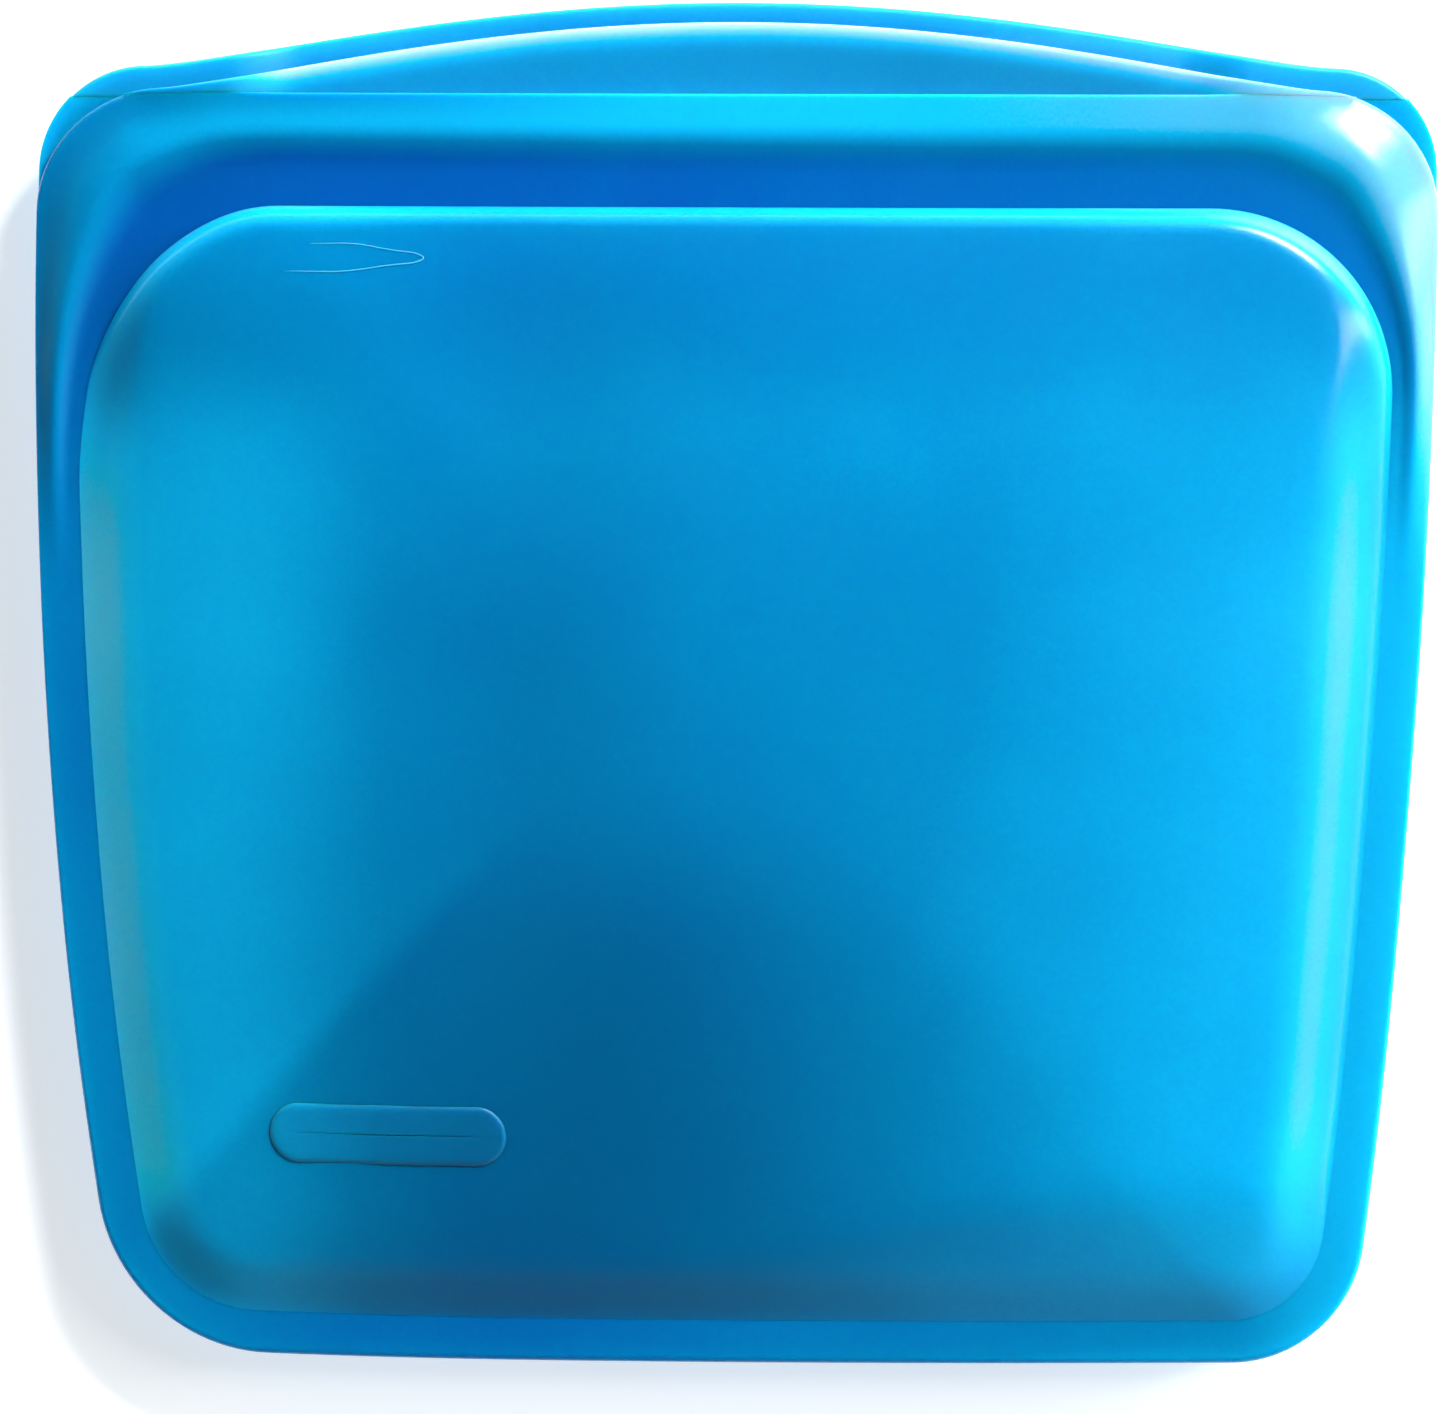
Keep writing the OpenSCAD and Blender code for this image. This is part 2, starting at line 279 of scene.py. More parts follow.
def backPouchHeight(points, inset=0.0):
    # the back wall, mirrored: it rolls down from its foot and goes flat on the table
    x, y = points.T
    foot = 2 * size["parting"] - footAt(points)
    d = np.maximum(distanceTo(points, pouchLoop) - inset, 0)
    s = np.clip(1 - np.hypot(x, y - centreY) / (reach(points, pouchLoop) - inset), 0, 1)
    t = np.clip(d / mix(7.0, 3.2, ease((y - 22) / 26)), 0, 1)
    quarter = np.sqrt(np.maximum(1 - (1 - t) ** 2, 0))
    roll = foot * 0.68
    flat = 1 - (1 - np.clip(s / 0.42, 0, 1)) ** 2.4
    return 2 * size["parting"] - (foot - roll * quarter - (foot - roll) * flat)


def askew(x, y):
    # the soft bag lies a little out of true: its left side and its lower left corner drawn in, its upper
    # right corner drawn up
    u, v = x / size["halfWidth"], y / size["backTop"]
    dx = (1 - u) / 2 * (0.1 + 1.2 * v * v)
    dy = mix(0.27 + 0.9 * u * u, 0.5 + 0.55 * u, (1 + v) / 2)
    dx += 0.45 * ease(-(y + 10) / 60) * ease(u)
    corner = np.exp(-((x + 86) ** 2 + (y + 86) ** 2) / 900)
    return x + dx + 0.5 * corner, y + dy + 0.7 * corner


# Mesh tools
def addMesh(name, points, faces, material, attributes=None):
    # points come in millimetres and go into the mesh in metres
    mesh = bpy.data.meshes.new(name)
    mesh.from_pydata((np.asarray(points) * 0.001).tolist(), [], faces)
    mesh.update()
    for key, values in (attributes or {}).items():
        layer = mesh.attributes.new(key, "FLOAT", "POINT")
        layer.data.foreach_set("value", np.asarray(values, np.float32))
    mesh.polygons.foreach_set("use_smooth", np.ones(len(mesh.polygons), bool))
    mesh.set_sharp_from_angle(angle=math.radians(60))
    mesh.materials.append(material)
    piece = bpy.data.objects.new(name, mesh)
    bpy.context.scene.collection.objects.link(piece)
    return piece


def ringFaces(rings, count, start=0, flip=False):
    # quads between rings of count points each, every ring closed on itself
    k = np.arange(rings - 1)[:, None] * count + start
    i = np.arange(count)[None, :]
    j = (i + 1) % count
    quads = np.stack([k + i, k + j, k + j + count, k + i + count], -1).reshape(-1, 4)
    return (quads[:, ::-1] if flip else quads).tolist()


def capFaces(last, count, pole, flip=False):
    i = np.arange(count)
    tris = np.stack([last + i, last + (i + 1) % count, np.full(count, pole)], -1)
    return (tris[:, ::-1] if flip else tris).tolist()


def sweep(name, sections, material, attributes=None):
    # closed tube through sections of equal count, each a loop of points, with its two ends capped
    rings = np.asarray(sections)
    n, m = rings.shape[:2]
    k = np.arange(n - 1)[:, None] * m
    i = np.arange(m)[None, :]
    j = (i + 1) % m
    faces = np.stack([k + i, k + i + m, k + j + m, k + j], -1).reshape(-1, 4).tolist()
    faces += [list(range(m)), list(range((n - 1) * m, n * m))[::-1]]
    return addMesh(name, rings.reshape(-1, 3), faces, material, attributes)


# Materials
silicone = {
    "deep": (0.0, 0.092, 0.36),
    "body": (0.0, 0.215, 0.45),
    "thin": (0.004, 0.50, 0.84),
    # whitish colour that tint past 1 reaches: painted highlights and sheen
    "paintedSheen": (0.36, 0.60, 0.80),
    "roughness": 0.25,
    "scatter": 0.003,     # depth that light spreads in the silicone, in metres
    "grain": 0.05,        # height of the moulded grain, in millimetres
    "clouds": 0.28,
    "speckle": 0.10,
    "ior": 1.41,
    "specular": 0.34,
    "radius": (0.05, 0.6, 0.9),
}


def socketIn(group, kind, name, value):
    socket = group.interface.new_socket(name=name, in_out="INPUT", socket_type=kind)
    socket.default_value = value


def siliconeGroup():
    # colour from deep silicone to a whitish painted sheen by tint, dimmed by the painted shade input, with
    # slow clouds, fine specks and a fine moulded grain
    group = bpy.data.node_groups.new("siliconeSkin", "ShaderNodeTree")
    socketIn(group, "NodeSocketColor", "Deep", (*silicone["deep"], 1))
    socketIn(group, "NodeSocketColor", "Body", (*silicone["body"], 1))
    socketIn(group, "NodeSocketColor", "Thin", (*silicone["thin"], 1))
    socketIn(group, "NodeSocketColor", "PaintedSheen", (*silicone["paintedSheen"], 1))
    socketIn(group, "NodeSocketFloat", "Tint", 0.5)
    socketIn(group, "NodeSocketFloat", "Shade", 1.0)
    socketIn(group, "NodeSocketFloat", "Clouds", 0.15)
    socketIn(group, "NodeSocketFloat", "Speckle", silicone["speckle"])
    socketIn(group, "NodeSocketFloat", "Roughness", silicone["roughness"])
    for name, kind in (("Color", "NodeSocketColor"), ("Roughness", "NodeSocketFloat"),
                       ("Height", "NodeSocketFloat")):
        group.interface.new_socket(name=name, in_out="OUTPUT", socket_type=kind)
    n, link = group.nodes, group.links.new
    gin, gout = n.new("NodeGroupInput"), n.new("NodeGroupOutput")
    coords = n.new("ShaderNodeTexCoord")

    def noise(scale, detail, rough=0.5):
        node = n.new("ShaderNodeTexNoise")
        node.inputs["Scale"].default_value = scale
        node.inputs["Detail"].default_value = detail
        node.inputs["Roughness"].default_value = rough
        link(coords.outputs["Object"], node.inputs["Vector"])
        return node.outputs["Fac"]

    def maths(op, a, b, clamp=False):
        node = n.new("ShaderNodeMath")
        node.operation = op
        node.use_clamp = clamp
        for socket, value in zip(node.inputs, (a, b)):
            if isinstance(value, (int, float)):
                socket.default_value = value
            else:
                link(value, socket)
        return node.outputs[0]

    clouds = maths("SUBTRACT", noise(22, 2), 0.5)
    tint = maths("ADD", gin.outputs["Tint"], maths("MULTIPLY", clouds, gin.outputs["Clouds"]))
    specks = maths("SUBTRACT", noise(2000, 2, 0.7), 0.5)
    tint = maths("ADD", tint, maths("MULTIPLY", specks, gin.outputs["Speckle"]))
    doubled = maths("MULTIPLY", tint, 2.0)

    def blendColor(fac, a, b):
        node = n.new("ShaderNodeMix")
        node.data_type = "RGBA"
        link(fac, node.inputs["Factor"])
        link(a, node.inputs["A"])
        link(b, node.inputs["B"])
        return node.outputs["Result"]

    color = blendColor(maths("MULTIPLY", tint, 2.0, True), gin.outputs["Deep"], gin.outputs["Body"])
    color = blendColor(maths("SUBTRACT", doubled, 1.0, True), color, gin.outputs["Thin"])
    color = blendColor(maths("SUBTRACT", doubled, 2.0, True), color, gin.outputs["PaintedSheen"])
    dim = n.new("ShaderNodeVectorMath")
    dim.operation = "SCALE"
    link(color, dim.inputs[0])
    link(gin.outputs["Shade"], dim.inputs["Scale"])
    link(dim.outputs["Vector"], gout.inputs["Color"])
    wear = maths("MULTIPLY", maths("SUBTRACT", noise(60, 3), 0.5), 0.12)
    link(maths("ADD", gin.outputs["Roughness"], wear, True), gout.inputs["Roughness"])
    fine, coarse = maths("MULTIPLY", noise(1500, 2, 0.6), 0.6), maths("MULTIPLY", noise(260, 3), 0.4)
    link(maths("ADD", fine, coarse), gout.inputs["Height"])
    return group


skinGroup = siliconeGroup()


def siliconeMaterial(name, roughness=silicone["roughness"], tint=None, grain=silicone["grain"],
                     scatter=silicone["scatter"]):
    # tint and shade come from the mesh's own attributes where no even tint is given
    material = bpy.data.materials.new(name)
    material.use_nodes = True
    n, link = material.node_tree.nodes, material.node_tree.links.new
    shader = n["Principled BSDF"]
    skin = n.new("ShaderNodeGroup")
    skin.node_tree = skinGroup
    skin.inputs["Roughness"].default_value = roughness
    skin.inputs["Clouds"].default_value = silicone["clouds"]
    if tint is None:
        for attribute, socket in (("tint", "Tint"), ("shade", "Shade")):
            layer = n.new("ShaderNodeAttribute")
            layer.attribute_name = attribute
            link(layer.outputs["Fac"], skin.inputs[socket])
    else:
        skin.inputs["Tint"].default_value = tint
    bump = n.new("ShaderNodeBump")
    bump.inputs["Strength"].default_value = 0.35
    bump.inputs["Distance"].default_value = grain * 0.001
    link(skin.outputs["Height"], bump.inputs["Height"])
    link(bump.outputs["Normal"], shader.inputs["Normal"])
    link(skin.outputs["Color"], shader.inputs["Base Color"])
    link(skin.outputs["Roughness"], shader.inputs["Roughness"])
    shader.inputs["IOR"].default_value = silicone["ior"]
    shader.inputs["Specular IOR Level"].default_value = silicone["specular"]
    shader.inputs["Subsurface Weight"].default_value = 1.0
    shader.inputs["Subsurface Radius"].default_value = silicone["radius"]
    shader.inputs["Subsurface Scale"].default_value = scatter
    return material


pouchSkin = siliconeMaterial("pouchSilicone", 0.20)
mouthSkin = siliconeMaterial("mouthSilicone", 0.38, grain=0.02)
sealSkin = siliconeMaterial("sealSilicone", tint=0.42)
bondSkin = siliconeMaterial("bondSilicone", 0.45, tint=0.10)
patchSkin = siliconeMaterial("patchSilicone", 0.36)
creaseSkin = siliconeMaterial("creaseSilicone", 0.30, tint=1.1, scatter=0.0001)


# Front and back mouldings. Their rings stand close together at the pouch edge and wider apart elsewhere
bandSteps = np.concatenate([[0.04, 0.09], np.linspace(0.15, 0.87, 13), [0.92, 0.96, 0.985]])
edgeSteps = np.array([0.0, 0.12, 0.28, 0.5, 0.74, 1.0])
wallSteps = np.concatenate([[0.0, 0.0015, 0.004, 0.008, 0.013, 0.019, 0.026, 0.034, 0.044, 0.056, 0.07,
                             0.086, 0.105], np.linspace(0.13, 0.97, 24)])


def clippedLoop(loop):
    # the moulding ends in a straight line at the top edge of its seal bar; the lips go on from there
    cut = loop.copy()
    above = np.flatnonzero(loop[:, 1] > size["barTop"])
    for last, first in ((above[0], above[0] - 1), (above[-1], above[-1] + 1)):
        (x0, y0), (x1, y1) = loop[first], loop[last]
        cut[last, 0] = x0 + (x1 - x0) * (size["barTop"] - y0) / (y1 - y0)
    cut[:, 1] = np.minimum(cut[:, 1], size["barTop"])
    return cut


def nearTo(x, y, centre, width, height):
    # 1 at the centre, fading as a bell over the given widths
    return np.exp(-((x - centre[0]) / width) ** 2 - ((y - centre[1]) / height) ** 2)


def bandLook(plan, loop, right):
    # deep in the valley beside the pouch, partly thicker silicone and partly painted shade; painted sheen on
    # the ridge; lighter along the rim, partly thinner silicone and partly a painted highlight; painted light
    # towards the right
    x, y = plan.T
    u = x / size["halfWidth"]
    share, climb, mouth, bar = bandShares(plan, loop)
    rim = distanceTo(plan, loop)
    # painted shade in the valley, which faces away from the light, on top of its thicker silicone
    deep = ease((y - 18) / 38) * (1 - climb) * (1 - 0.5 * right * ease((50 - y) / 20))
    outerLeft = mouth * ease((share - 0.70) / 0.3) * ease(-u * 1.4)
    lowLeft = ease(-y / 60) * ease(-u)
    foot = ease((-y - 72) / 12) * ease((x + 80) / 30) * ease((80 - x) / 14)
    # lighter towards the lit right side; lighter along the rim, partly thinner silicone and partly a painted
    # highlight
    tint = 0.46 + 0.20 * u - 0.44 * deep + 0.12 * deep * ease((-x - 60) / 18) + 0.26 * np.exp(-rim / 1.6)
    # painted light on the lower right flange, painted sheen on the seal bar and a painted highlight on the
    # right ridge
    tint += 0.14 * right * (1 - mouth) + mouth * climb * (0.24 + 0.22 * bar + 0.28 * right * (1 - 0.9 * bar))
    # painted light low on the left, painted shade on the outer left and along the bottom
    tint += 0.14 * lowLeft - 0.24 * outerLeft - 0.22 * foot
    # shade here is painted shade that tones down the lit right side and its ridge
    return tint, 1.0 - 0.08 * right - 0.24 * mouth * climb * right


def wallLook(plan, right):
    # painted light along the top edge, on the left and on the right; darker at the top, a painted shadow
    # with a straight edge low on the left and painted shadow pools in the middle, with a painted highlight
    # inside the right edge and on the upper right corner
    x, y = plan.T
    d = distanceTo(plan, pouchLoop)
    side = ease((44 - y) / 20)
    # painted light on the top edge of the pouch, the roll that faces the lamps
    edge = np.exp(-(d / 2.6) ** 2) * 0.60 * ease((y - 20) / 40)
    sideEdge = 1 - 0.8 * ease((-y - 66) / 12)
    # painted light along the left side where light shines through the wall, a little darker along the right
    # side
    edge += side * (1 - ease((d - 4) / 6)) * (0.26 - 0.34 * right) * sideEdge
    # painted highlight: a whitish band inside the right edge, and a glint on the roll of the upper right
    # corner
    paintedHighlight = np.exp(-((d - 5.5) / 4.0) ** 2) * ease((x - 55) / 20) * side * ease((y + 85) / 30)
    paintedHighlight += np.exp(-((d - 1.9) / 0.9) ** 2) * nearTo(x, y, (73, 54), 200 ** 0.5, 200 ** 0.5)
    # painted shadow with a straight edge, low on the left
    shadowEdge = ((x + 62.4) * 0.74 - (y + 56.6) * 0.67) / 5
    paintedShadow = ease(0.5 + shadowEdge) * (1 - ease((x + 15) / 55)) * ease(-(y + 12) / 26)
    # painted light: lighter towards the lit right side and on the left, where light shines through; darker
    # at the top
    tint = 0.46 + 0.16 * ease((x - 5) / 70) + 0.33 * ease((-x - 36) / 35) * ease((50 - y) / 35) + edge
    tint += 0.50 * paintedHighlight - 0.15 * ease((y - 30) / 25) * ease((x + 60) / 30) - 0.10 * paintedShadow
    # painted light lifts the left edge, the lower right and the lower left corner
    shade = 1.04 + 0.12 * side * (1 - ease((d - 3) / 7)) * (1 - right)
    shade += 0.18 * ease((-y - 48) / 28) * ease(x / 40)
    shade += 0.16 * nearTo(x, y, (-70, -70), 260 ** 0.5, 260 ** 0.5)
    # painted shadow pools in the middle and on the left, and darker where the painted highlight and the
    # painted shadow lie
    shade -= 0.24 * nearTo(x, y, (-18, -52), 40, 42)
    shade -= 0.34 * paintedHighlight + 0.14 * paintedShadow + 0.14 * nearTo(x, y, (-22, 14), 16, 50)
    return tint, shade


def backLook(plan, loop):
    # even, a little thinner at the mouth; lighter along the rim, partly thinner silicone and partly a
    # painted highlight
    tint = mix(0.5, 0.54, ease((plan[:, 1] - 58) / 10)) + 0.26 * np.exp(-(distanceTo(plan, loop) / 1.9) ** 2)
    return tint, np.ones(len(plan))


def lookOf(plan, loop, front):
    # tint runs deep, body, thin, painted sheen from 0 to 1.5, and shade dims the colour; on the front both
    # carry painted light and shade as well as the silicone's thickness
    if front:
        x, y = plan.T
        # right rises towards the right, the side the lamps light from; it steers painted light and shade
        right = ease((x / size["halfWidth"] + 0.2) / 1.2)
        inPouch = np.hypot(x, y - centreY) < reach(plan, pouchLoop) - 0.02
        tint, shade = np.where(inPouch, wallLook(plan, right), bandLook(plan, loop, right))
    else:
        tint, shade = backLook(plan, loop)
    return {"tint": np.clip(tint, 0, 1.5), "shade": shade}


def moulding(name, loop, side, material):
    # rings run from the parting line up the rounded edge, over the band, up the pouch wall and in to its
    # middle; a second skin one wall inside it closes the piece. side is 1 for the front and -1 for the back
    edgeLoop = clippedLoop(loop)
    count = len(edgeLoop)
    inward = pouchLoop - edgeLoop
    inward /= np.linalg.norm(inward, axis=1, keepdims=True)
    wallHeight = pouchHeight if side > 0 else backPouchHeight
    top = edgeLoop[:, 1] > size["barTop"] - 1e-6
    cut = top * ease((np.abs(edgeLoop[:, 0]) - 62) / 7)
    radius = (np.where(top, 0.4, 0.85) * (1 - cut) + 0.002)[:, None]
    base = size["parting"] + size["skinGap"]
    rings, heights = [edgeLoop], [underside(edgeLoop, loop, base, side)]
    for a in edgeSteps:
        rings.append(edgeLoop + inward * radius * a)
        heights.append(bandHeight(rings[-1], loop) - radius[:, 0] * (1 - math.sqrt(1 - (1 - a) ** 2)))
    start = edgeLoop + inward * radius
    for b in np.concatenate([bandSteps, [1.0]]):
        rings.append(mix(start, pouchLoop, b))
        heights.append(bandHeight(rings[-1], loop))
    centre = np.array([0, centreY])
    for s in wallSteps[1:]:
        rings.append(mix(pouchLoop, centre, s))
        heights.append(wallHeight(rings[-1]))
    outerCount = len(rings)
    thick = size["wall"]
    for b in np.linspace(0, 1, 14):
        rings.append(mix(edgeLoop + inward * 0.3, pouchLoop, b))
        heights.append(underside(rings[-1], loop, base, side))
    shrink = thick / reach(pouchLoop, pouchLoop)[:, None]
    for s in wallSteps:
        rings.append(mix(mix(pouchLoop, centre, shrink), centre, s))
        heights.append(np.maximum(wallHeight(rings[-1], thick) - thick, base))
    plan = np.concatenate(rings + [[centre, centre]])
    poleZ = wallHeight(np.array([centre]))
    z = np.concatenate(heights + [poleZ, poleZ - thick])
    x, y = askew(*plan.T)
    points = np.column_stack([x, y, size["parting"] + side * (z - size["parting"])])
    flip = side < 0
    total = len(rings) * count
    innerStart = outerCount * count
    faces = ringFaces(outerCount, count, 0, flip)
    faces += capFaces(innerStart - count, count, total, flip)
    faces += ringFaces(len(rings) - outerCount, count, innerStart, not flip)
    faces += capFaces(total - count, count, total + 1, not flip)
    i = np.arange(count)
    j = (i + 1) % count
    seam = np.stack([i, innerStart + i, innerStart + j, j], -1)
    faces += (seam[:, ::-1] if flip else seam).tolist()
    return addMesh(name, points, faces, material, lookOf(plan, loop, side > 0))


def underside(plan, loop, base, side):
    # flat on the parting plane, lifted over the throat between pouch and seal; the back half is cut away for
    # the channel that the tongue snaps into
    x, y = plan.T
    lift = ease((68 - np.abs(x)) / 8) * ease((size["barLow"] + 0.6 - y) / 1.6) * ease((y - 55) / 4)
    level = mix(base, np.maximum(bandHeight(plan, loop) - 1.5, base), lift)
    if side < 0:
        plate = ease((77 - np.abs(x)) / 3) * ease((y - size["barLow"]) / 0.7)
        level = mix(level, 2 * size["parting"] - ribLow[2], plate)
    return level


print("front and back mouldings")
frontHalf = moulding("front_moulding", frontLoop, 1, pouchSkin)
backHalf = moulding("back_moulding", backLoop, -1, pouchSkin)


# Lips
lipShape = {"thickness": 1.5, "rise": 0.9, "tuck": 1.6, "sink": 0.6, "rounding": 0.75}


def lip(name, loop, side, hingeZ, material):
    # a sheet from the seal bar out to the arched outline, with a foot tucked under the bar. Beyond the
    # shoulders it swells to the full moulding, so both meet level at the bar's top edge. Each section runs
    # out on top, round the tip and back underneath
    above = loop[loop[:, 1] > size["barTop"]]
    above = above[np.argsort(above[:, 0])]
    cut = clippedLoop(loop)
    xEnd = np.abs(cut[cut[:, 1] > size["barTop"] - 1e-6][:, 0]).max()
    chord = np.concatenate([[[-xEnd, size["barTop"]]], above, [[xEnd, size["barTop"]]]])
    run = np.concatenate([[0], np.cumsum(np.linalg.norm(np.diff(chord, axis=0), axis=1))])
    t = np.linspace(0, run[-1], 221)
    tip = np.stack([np.interp(t, run, chord[:, 0]), np.interp(t, run, chord[:, 1])], 1)
    base = np.stack([tip[:, 0] * 0.965, np.full(len(t), size["barTop"])], 1)
    along = tip - base
    length = np.linalg.norm(along, axis=1, keepdims=True)
    along /= length
    hinge = size["parting"] + side * (hingeZ - size["parting"])
    sheet = lambda plan: (hinge + lipShape["thickness"] / 2 + lipShape["rise"]
                          * np.clip((plan[:, 1] - size["barTop"]) / size["archHeight"], 0, 1) ** 1.5)

    def skins(plan):
        wide = ease((np.abs(plan[:, 0]) - 60) / 10)
        sunk = lipShape["sink"] * (plan[:, 1] < size["barTop"] - 1e-6)
        upper = mix(sheet(plan), bandHeight(plan, loop), wide) - sunk
        lower = mix(sheet(plan) - lipShape["thickness"], size["parting"] + size["skinGap"], wide) + sunk
        return upper, lower

    reachOut = 1 - np.minimum(lipShape["rounding"] / length, 0.98)
    tucked = [base - [0, lipShape["tuck"]], base - [0, 0.02]]
    rings = [np.column_stack([plan, skins(plan)[0]]) for plan in tucked]
    for q in np.linspace(0, 1, 15):
        plan = base + along * length * reachOut * q
        rings.append(np.column_stack([plan, skins(plan)[0]]))
    for p in np.linspace(0, math.pi, 12)[1:-1]:
        plan = base + along * length * mix(reachOut, 1, math.sin(p))
        upper, lower = skins(base + along * length * reachOut)
        rings.append(np.column_stack([plan, (upper + lower) / 2 + math.cos(p) * (upper - lower) / 2]))
    for q in np.linspace(1, 0, 15):
        plan = base + along * length * reachOut * q
        rings.append(np.column_stack([plan, skins(plan)[1]]))
    rings += [np.column_stack([plan, skins(plan)[1]]) for plan in tucked[::-1]]
    m = len(rings)
    points = np.stack(rings, 1).reshape(-1, 3)
    k = np.arange(len(t) - 1)[:, None] * m
    i = np.arange(m)[None, :]
    j = (i + 1) % m
    faces = np.stack([k + i, k + j, k + j + m, k + i + m], -1).reshape(-1, 4)
    faces = (faces if side > 0 else faces[:, ::-1]).tolist()
    first, last = list(range(m)), list(range((len(t) - 1) * m, len(t) * m))
    faces += [first[::-1] if side > 0 else first, last if side > 0 else last[::-1]]
    plan = points[:, :2].copy()
    look = lookOf(plan, loop, side > 0)
    if side > 0:
        wide = ease((np.abs(plan[:, 0]) - 60) / 10)
        rise = np.clip((plan[:, 1] - size["barTop"]) / size["archHeight"], 0, 1)
        # painted highlight along the front lip's rounded edge, where it catches the light
        tint = 0.56 + 0.95 * np.exp(-(distanceTo(plan, loop) / 2.0) ** 2) + 0.06 * rise
        look["tint"] = mix(tint, look["tint"], wide)
    points[:, 2] = size["parting"] + side * (points[:, 2] - size["parting"])
    points[:, 0], points[:, 1] = askew(points[:, 0], points[:, 1])
    return addMesh(name, points, faces, material, look)


print("lips")
frontLip = lip("front_tab", frontLoop, 1, jointPoint("front_lip_curl")[2], mouthSkin)
backLip = lip("back_tab", backLoop, -1, jointPoint("back_lip_curl")[2], mouthSkin)


# Bond, tongue and channel
def bond():
    # a thin film between the flanges, set back from their edges, open where the throat leaves the pouch
    run = np.flatnonzero(backLoop[:, 1] < size["barLow"] - 7.8)
    gap = int(np.argmax(np.diff(run))) + 1
    run = np.concatenate([run[gap:], run[:gap]])
    inward = pouchLoop[run] - backLoop[run]
    inward /= np.linalg.norm(inward, axis=1, keepdims=True)
    outer, inner = backLoop[run] + 0.35 * inward, pouchLoop[run] + 0.6 * inward
    corners = []
    for plan, z in ((outer, 0.14), (inner, 0.14), (inner, -0.14), (outer, -0.14)):
        x, y = askew(*plan.T)
        corners.append(np.column_stack([x, y, np.full(len(plan), size["parting"] + z)]))
    return sweep("rim_bond_film", np.stack(corners, 1)[::-1], bondSkin)


def rail(name, low, high, narrow, rounding, material):
    # a rib along the mouth: its profile narrows from root to tip by the given amounts, with a rounded tip
    x = np.linspace(-1, 1, 61) * (min(abs(low[0]), high[0]) - 3.5)
    rootZ, tipZ = (low[2], high[2]) if narrow["up"] else (high[2], low[2])
    a = np.linspace(0, math.pi / 2, 6)
    far, near = rounding * (1 - np.cos(a)), rounding * (1 - np.sin(a))
    first, last = low[1] + narrow["first"], high[1] - narrow["last"]
    turn = 1 if narrow["up"] else -1
    profile = np.concatenate([[[low[1], rootZ]], np.stack([first + far, tipZ - turn * near], 1),
                              np.stack([last - near, tipZ - turn * far], 1), [[high[1], rootZ]]])
    profile = profile if narrow["up"] else profile[::-1]
    sections = np.stack([np.repeat(x[:, None], len(profile), 1), np.repeat(profile[None, :, 0], len(x), 0),
                         np.repeat(profile[None, :, 1], len(x), 0)], -1)
    px, py = askew(sections[..., 0], sections[..., 1])
    return sweep(name, np.stack([px, py, sections[..., 2]], -1), material)


print("bond, tongue and channel")
film = bond()
rooted = np.array([0, 0, 0.3])    # how far each rail reaches into its bar
tongue = rail("seal_tongue_bead", tongueLow, tongueHigh + rooted, {"up": False, "first": 0, "last": 0},
              0.5, sealSkin)
innerRib = rail("inner_channel_bead", ribLow - rooted, ribHigh, {"up": True, "first": 0, "last": 0.75},
                0.25, sealSkin)
outerRib = rail("outer_channel_bead", outerRibLow - rooted, outerRibHigh,
                {"up": True, "first": 0.75, "last": 0}, 0.25, sealSkin)


# Handling marks
creaseShape = {"radius": 0.08, "apex": (-42.0, 56.2), "length": 17.0, "spread": 2.0}


def crease():
    # a hairpin line left by folding: a parabola lying on the wall
    t = np.linspace(-1, 1, 90)
    x = creaseShape["apex"][0] - creaseShape["length"] * np.abs(t) ** 1.5 * (1 - 0.1 * t)
    y = creaseShape["apex"][1] + creaseShape["spread"] * np.sin(t * 1.5) + 0.12 * np.sin(t * 11)
    plan = np.stack([x, y], 1)
    ahead = np.gradient(plan, axis=0)
    side = np.stack([-ahead[:, 1], ahead[:, 0]], 1) / np.linalg.norm(ahead, axis=1, keepdims=True)
    radius = creaseShape["radius"] * np.sqrt(np.clip(1 - t ** 6, 0.02, 1))
    a = np.linspace(0, 2 * math.pi, 8, endpoint=False)
    px, py = askew(x, y)
    z = pouchHeight(plan) + 0.02
    sections = np.stack([np.stack([px + side[:, 0] * radius * math.cos(p),
                                   py + side[:, 1] * radius * math.cos(p),
                                   z + radius * math.sin(p)], -1) for p in a], 1)
    return sweep("fold_crease", sections, creaseSkin)


creaseMark = crease()


# Writing patch
patchLow, patchHigh = mmBox("write_patch")
patchShape = {"height": 0.4, "sink": 0.5, "rounding": 0.9}


